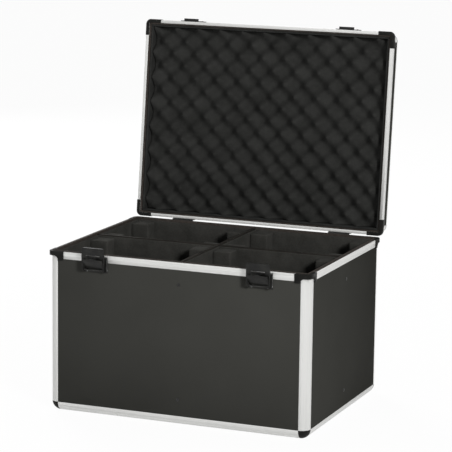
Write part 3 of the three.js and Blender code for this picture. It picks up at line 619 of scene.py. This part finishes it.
def egg_crate():
    """The sheet's waves, its cut sides and its flat back, as one closed mesh."""
    reach_x = HALF_WIDTH - LINED_FACE - FOAM_EDGE - SEAT
    reach_y = HALF_DEPTH - LINED_FACE - FOAM_EDGE - SEAT
    count_x, count_y = round(2 * reach_x / FOAM_STEP), round(2 * reach_y / FOAM_STEP)
    xs = [-reach_x + 2 * reach_x * i / count_x for i in range(count_x + 1)]
    ys = [-reach_y + 2 * reach_y * j / count_y for j in range(count_y + 1)]
    points = [lid_point(x, y, foam_depth(x, y)) for y in ys for x in xs]
    wide = len(xs)
    faces = []
    for j in range(count_y):
        for i in range(count_x):
            a = j * wide + i
            faces.append([a, a + wide, a + wide + 1, a + 1])
    ring = list(range(wide - 1))
    ring += [j * wide + wide - 1 for j in range(count_y)]
    ring += [count_y * wide + i for i in range(wide - 1, 0, -1)]
    ring += [j * wide for j in range(count_y, 0, -1)]
    first = len(points)
    for index in ring:
        x, y = xs[index % wide], ys[index // wide]
        points.append(lid_point(x, y, FOAM_BACK))
    for k, index in enumerate(ring):
        follow = (k + 1) % len(ring)
        faces.append([index, ring[follow], first + follow, first + k])
    faces.append([first + k for k in range(len(ring))])
    return points, faces


STRIP_TOP = 4.5 * MM


def lid_lining():
    """Four strips of lining round the sheet, a hair apart at the corners."""
    reach_x, reach_y = HALF_WIDTH - LINED_FACE, HALF_DEPTH - LINED_FACE
    in_x, in_y = reach_x - FOAM_EDGE, reach_y - FOAM_EDGE
    end_y = in_y - SHEET_GAP
    strips = [
        ((-reach_x, -reach_y), (reach_x, -in_y)),
        ((-reach_x, in_y), (reach_x, reach_y)),
        ((-reach_x, -end_y), (-in_x, end_y)),
        ((in_x, -end_y), (reach_x, end_y)),
    ]
    parts = []
    for i, (low, high) in enumerate(strips):
        block = ((*low, STRIP_TOP), (*high, FOAM_BACK))
        points, faces = rounded_block(*block, *STRIP_SHAPE, 5.3 * i)
        parts.append(([LID_TO_ROW @ p for p in points], faces))
    return merged(parts)


sheet = piece("egg_crate_foam", *egg_crate(), LID_FOAM, "lid")
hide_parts("lid_foam")
strip = piece("lid_lining", *lid_lining(), LID_FOAM, "lid")


# Screws and rivets: heads that stand on z = 0, with the foot of each a little below it
FOOT = -0.3 * MM
SCREW_PROFILE = ((1, 0.25), (0.9, 0.68), (0.6, 0.93))
SCREW_SEGMENTS = 32
RIVET_DOME = ((1, 0.12), (0.94, 0.42), (0.76, 0.78), (0.5, 0.97), (0.34, 1))
RIVET_PROFILE = RIVET_DOME + ((0.28, 0.9), (0.26, 0.6))
RIVET_SEGMENTS = 28


def turned_head(made, profile, segments, radius, height):
    """The round walls and the foot of a head. The profile is in shares of radius and height."""
    rings = []
    for r, z in [(radius, FOOT)] + [(a * radius, b * height) for a, b in profile]:
        angles = [2 * pi * k / segments for k in range(segments)]
        rings.append([made.verts.new((r * cos(angle), r * sin(angle), z)) for angle in angles])
    for low, high in zip(rings, rings[1:]):
        for k in range(segments):
            n = (k + 1) % segments
            made.faces.new((low[k], low[n], high[n], high[k]))
    made.faces.new(rings[0][::-1])
    return rings[-1]


def stored(made, name):
    mesh = bpy.data.meshes.new(name)
    made.to_mesh(mesh)
    made.free()
    return mesh


def loop_edges(made, ring):
    return [made.edges.get((ring[k], ring[(k + 1) % len(ring)])) for k in range(len(ring))]


def cross_head_mesh(radius, height):
    """A pan head with a cross recess."""
    made = bmesh.new()
    top = turned_head(made, SCREW_PROFILE, SCREW_SEGMENTS, radius, height)
    arm, half = 0.5 * radius, 0.11 * radius
    quarter = [(arm, -half), (arm, half), (half, half)]
    cross = []
    for _ in range(4):
        cross += quarter
        quarter = [(-y, x) for x, y in quarter]
    top_z, floor_z = SCREW_PROFILE[-1][1] * height, 0.35 * height
    mouth = [made.verts.new((x, y, top_z)) for x, y in cross]
    deep = [made.verts.new((x * 0.8, y * 0.8, floor_z)) for x, y in cross]
    for k in range(len(cross)):
        n = (k + 1) % len(cross)
        made.faces.new((mouth[n], mouth[k], deep[k], deep[n]))
    made.faces.new(deep)
    edges = loop_edges(made, top) + loop_edges(made, mouth)
    bmesh.ops.triangle_fill(made, edges=edges, use_beauty=True)
    bmesh.ops.recalc_face_normals(made, faces=made.faces)
    return stored(made, "cross_head")


def rivet_mesh(radius, height):
    """A domed rivet head with the dimple of its mandrel."""
    made = bmesh.new()
    made.faces.new(turned_head(made, RIVET_PROFILE, RIVET_SEGMENTS, radius, height))
    return stored(made, "rivet")


def fasten(name, mesh, spots, material, body):
    """One piece of several like fasteners. Each spot is (place, outward direction, spin)."""
    made = bmesh.new()
    for place, outward, spin in spots:
        out = Vector(outward).normalized()
        turn = out.to_track_quat("Z", "Y").to_matrix().to_4x4() @ Matrix.Rotation(spin, 4, "Z")
        copy = mesh.copy()
        copy.transform(Matrix.Translation(place) @ turn)
        made.from_mesh(copy)
        bpy.data.meshes.remove(copy)
    joined = stored(made, name)
    joined.materials.append(material)
    obj = bpy.data.objects.new(name, joined)
    bpy.context.scene.collection.objects.link(obj)
    obj.modifiers.new("shade", "NODES").node_group = SMOOTH
    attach(obj, body)


def on_lid(place, outward):
    """A place and an outward direction of the lid's own frame, in the row's frame."""
    return lid_point(*place), LID_TURN @ Vector(outward)


panel_screw = cross_head_mesh(3.2 * MM, 1.5 * MM)
bracket_screw = cross_head_mesh(2.2 * MM, 1.1 * MM)

# Screws through the panels into the dividers, each with its own turn of the cross
SCREW_OFFSET = 4 * MM
SCREW_HEIGHTS = {
    "front": (282 * MM, 52.5 * MM),
    "rear": (282 * MM, 167 * MM, 52.5 * MM),
    "side": (279 * MM, 52.5 * MM),
}
for side, sy in (("front", -1), ("rear", 1)):
    spots = [
        ((-sy * SCREW_OFFSET, sy * HALF_DEPTH, z), (0, sy, 0), 0.5 + z) for z in SCREW_HEIGHTS[side]
    ]
    fasten(f"divider_screws_{side}", panel_screw, spots, SCREW, "case_base")
for side, sx in (("left", -1), ("right", 1)):
    spots = [((sx * HALF_WIDTH, 0, z), (sx, 0, 0), 0.9 + z) for z in SCREW_HEIGHTS["side"]]
    fasten(f"divider_screws_{side}", panel_screw, spots, SCREW, "case_base")

# Screws of the rim brackets, one in each leg, their heads nearly flush
BRACKET_FACE = 0.95 * MM
LEG = 27 * MM
BASE_LEG_Z = BASE_HEIGHT - 10.5 * MM
LID_LEG_Z = 8 * MM
for corner, (sx, sy) in CORNERS.items():
    x, y = sx * (HALF_WIDTH - LEG), sy * (HALF_DEPTH - LEG)
    face_x, face_y = sx * (HALF_WIDTH + BRACKET_FACE), sy * (HALF_DEPTH + BRACKET_FACE)
    spots = [
        ((x, face_y, BASE_LEG_Z), (0, sy, 0), 0.3),
        ((face_x, y, BASE_LEG_Z), (sx, 0, 0), 0.8),
    ]
    fasten(f"bracket_screws_{corner}", bracket_screw, spots, PASSIVATED, "case_base")
    spots = [
        (*on_lid((x, face_y, LID_LEG_Z), (0, sy, 0)), 0.6),
        (*on_lid((face_x, y, LID_LEG_Z), (sx, 0, 0)), 0.2),
    ]
    fasten(f"lid_bracket_screws_{corner}", bracket_screw, spots, PASSIVATED, "lid")

# Rivets of the latches, keepers and hinges
plate_rivet = rivet_mesh(1.9 * MM, 0.8 * MM)
pin_head = rivet_mesh(1.4 * MM, 0.6 * MM)
LATCH_X = {"left": -HALF_WIDTH + 101.5 * MM, "right": HALF_WIDTH - 101.5 * MM}
HINGE_X = {"left": -HALF_WIDTH + 107 * MM, "right": HALF_WIDTH - 92 * MM}
PLATE_FACE = HALF_DEPTH + 1.5 * MM
KEEPER_FACE = HALF_DEPTH + 2.4 * MM
LEAF_FACE = HALF_DEPTH + 1.9 * MM
GUARD_SIDE = 26.5 * MM
PIN_Y, PIN_Z = -HALF_DEPTH - 2.8 * MM, BASE_HEIGHT - 29 * MM
PLATE_RIVET_Z = BASE_HEIGHT - 32 * MM
KEEPER_RIVET_Z = 19 * MM
LEAF_RIVET_Z = BASE_HEIGHT - 24 * MM
LID_LEAF_RIVET_Z = 20.5 * MM
FRONT, REAR = (0, -1, 0), (0, 1, 0)


def pair(middle, half_gap):
    return (middle - half_gap, middle + half_gap)


for hand in ("left", "right"):
    latch, hinge = LATCH_X[hand], HINGE_X[hand]
    spots = [((x, -PLATE_FACE, PLATE_RIVET_Z), FRONT, 0) for x in pair(latch, 17 * MM)]
    fasten(f"latch_rivets_{hand}", plate_rivet, spots, BRIGHT_STEEL, "case_base")
    spots = [((latch + side * GUARD_SIDE, PIN_Y, PIN_Z), (side, 0, 0), 0) for side in (-1, 1)]
    fasten(f"latch_pin_heads_{hand}", pin_head, spots, BRIGHT_STEEL, "case_base")
    spots = [(*on_lid((x, -KEEPER_FACE, KEEPER_RIVET_Z), FRONT), 0) for x in pair(latch, 18 * MM)]
    fasten(f"keeper_rivets_{hand}", plate_rivet, spots, SCREW, "lid")
    spots = [((x, LEAF_FACE, LEAF_RIVET_Z), REAR, 0) for x in pair(hinge, 14 * MM)]
    fasten(f"hinge_rivets_{hand}", plate_rivet, spots, SCREW, "case_base")
    spots = [(*on_lid((x, LEAF_FACE, LID_LEAF_RIVET_Z), REAR), 0) for x in pair(hinge, 14 * MM)]
    fasten(f"lid_hinge_rivets_{hand}", plate_rivet, spots, SCREW, "lid")


# Floor, backdrop and light
FLOOR_HALF = 30
FLOOR_DROP = 0.6 * MM
FLOOR_GLOW = 0.96
WORLD_STRENGTH, SEEN_STRENGTH = 0.1, 1.0


def seen_rays(tree):
    """Camera and glossy rays, which see the white background."""
    path = tree.nodes.new("ShaderNodeLightPath")
    seen = tree.nodes.new("ShaderNodeMath")
    seen.operation = "MAXIMUM"
    tree.links.new(path.outputs["Is Camera Ray"], seen.inputs[0])
    tree.links.new(path.outputs["Is Glossy Ray"], seen.inputs[1])
    return seen.outputs[0]


def plain_floor():
    mesh = bpy.data.meshes.new("floor")
    turns = ((-1, -1), (1, -1), (1, 1), (-1, 1))
    corners = [(sx * FLOOR_HALF, sy * FLOOR_HALF, 0) for sx, sy in turns]
    mesh.from_pydata(corners, [], [(0, 1, 2, 3)])
    floor = bpy.data.objects.new("floor", mesh)
    floor.location.z = -FLOOR_DROP
    bpy.context.scene.collection.objects.link(floor)
    material = bpy.data.materials.new("floor")
    material.use_nodes = True
    tree = material.node_tree
    bsdf = tree.nodes["Principled BSDF"]
    bsdf.inputs["Base Color"].default_value = (0.86, 0.86, 0.86, 1)
    bsdf.inputs["Roughness"].default_value = 0.9
    share = tree.nodes.new("ShaderNodeMath")
    share.operation = "MULTIPLY"
    share.inputs[1].default_value = FLOOR_GLOW
    tree.links.new(seen_rays(tree), share.inputs[0])
    glow = tree.nodes.new("ShaderNodeEmission")
    glow.inputs["Color"].default_value = (1, 1, 1, 1)
    mix = tree.nodes.new("ShaderNodeMixShader")
    tree.links.new(share.outputs[0], mix.inputs[0])
    tree.links.new(bsdf.outputs[0], mix.inputs[1])
    tree.links.new(glow.outputs[0], mix.inputs[2])
    tree.links.new(mix.outputs[0], tree.nodes["Material Output"].inputs["Surface"])
    mesh.materials.append(material)


def world_light():
    world = bpy.data.worlds.new("studio")
    bpy.context.scene.world = world
    world.use_nodes = True
    tree = world.node_tree
    back = tree.nodes["Background"]
    back.inputs["Color"].default_value = (1, 1, 1, 1)
    back.inputs["Strength"].default_value = WORLD_STRENGTH
    seen_back = tree.nodes.new("ShaderNodeBackground")
    seen_back.inputs["Color"].default_value = (1, 1, 1, 1)
    seen_back.inputs["Strength"].default_value = SEEN_STRENGTH
    mix = tree.nodes.new("ShaderNodeMixShader")
    tree.links.new(seen_rays(tree), mix.inputs[0])
    tree.links.new(back.outputs[0], mix.inputs[1])
    tree.links.new(seen_back.outputs[0], mix.inputs[2])
    tree.links.new(mix.outputs[0], tree.nodes["World Output"].inputs["Surface"])


def softbox(name, place, target, size, power, in_gloss=False):
    """A rectangular lamp that faces its target. It shows in reflections only if in_gloss."""
    data = bpy.data.lights.new(name, "AREA")
    data.shape = "RECTANGLE"
    data.size, data.size_y = size
    data.energy = power
    light = bpy.data.objects.new(name, data)
    bpy.context.scene.collection.objects.link(light)
    light.location = place
    light.visible_glossy = in_gloss
    light.rotation_euler = (Vector(target) - Vector(place)).to_track_quat("-Z", "Y").to_euler()


plain_floor()
world_light()
softbox("key_light", (5.5, -4.75, 3.4), (0, 0, 0.45), (1.5, 1.5), 510)
softbox("fill_light", (-1.0, -3.3, 0.5), (-0.15, 0, 0.22), (1.8, 0.8), 26)
softbox("top_light", (-0.2, 0.5, 3.2), (0, 0, 0.3), (1.4, 1.4), 20, in_gloss=True)
softbox("rear_light", (-2.6, 2.6, 1.7), (0, 0, 0.3), (1.6, 1.6), 150)
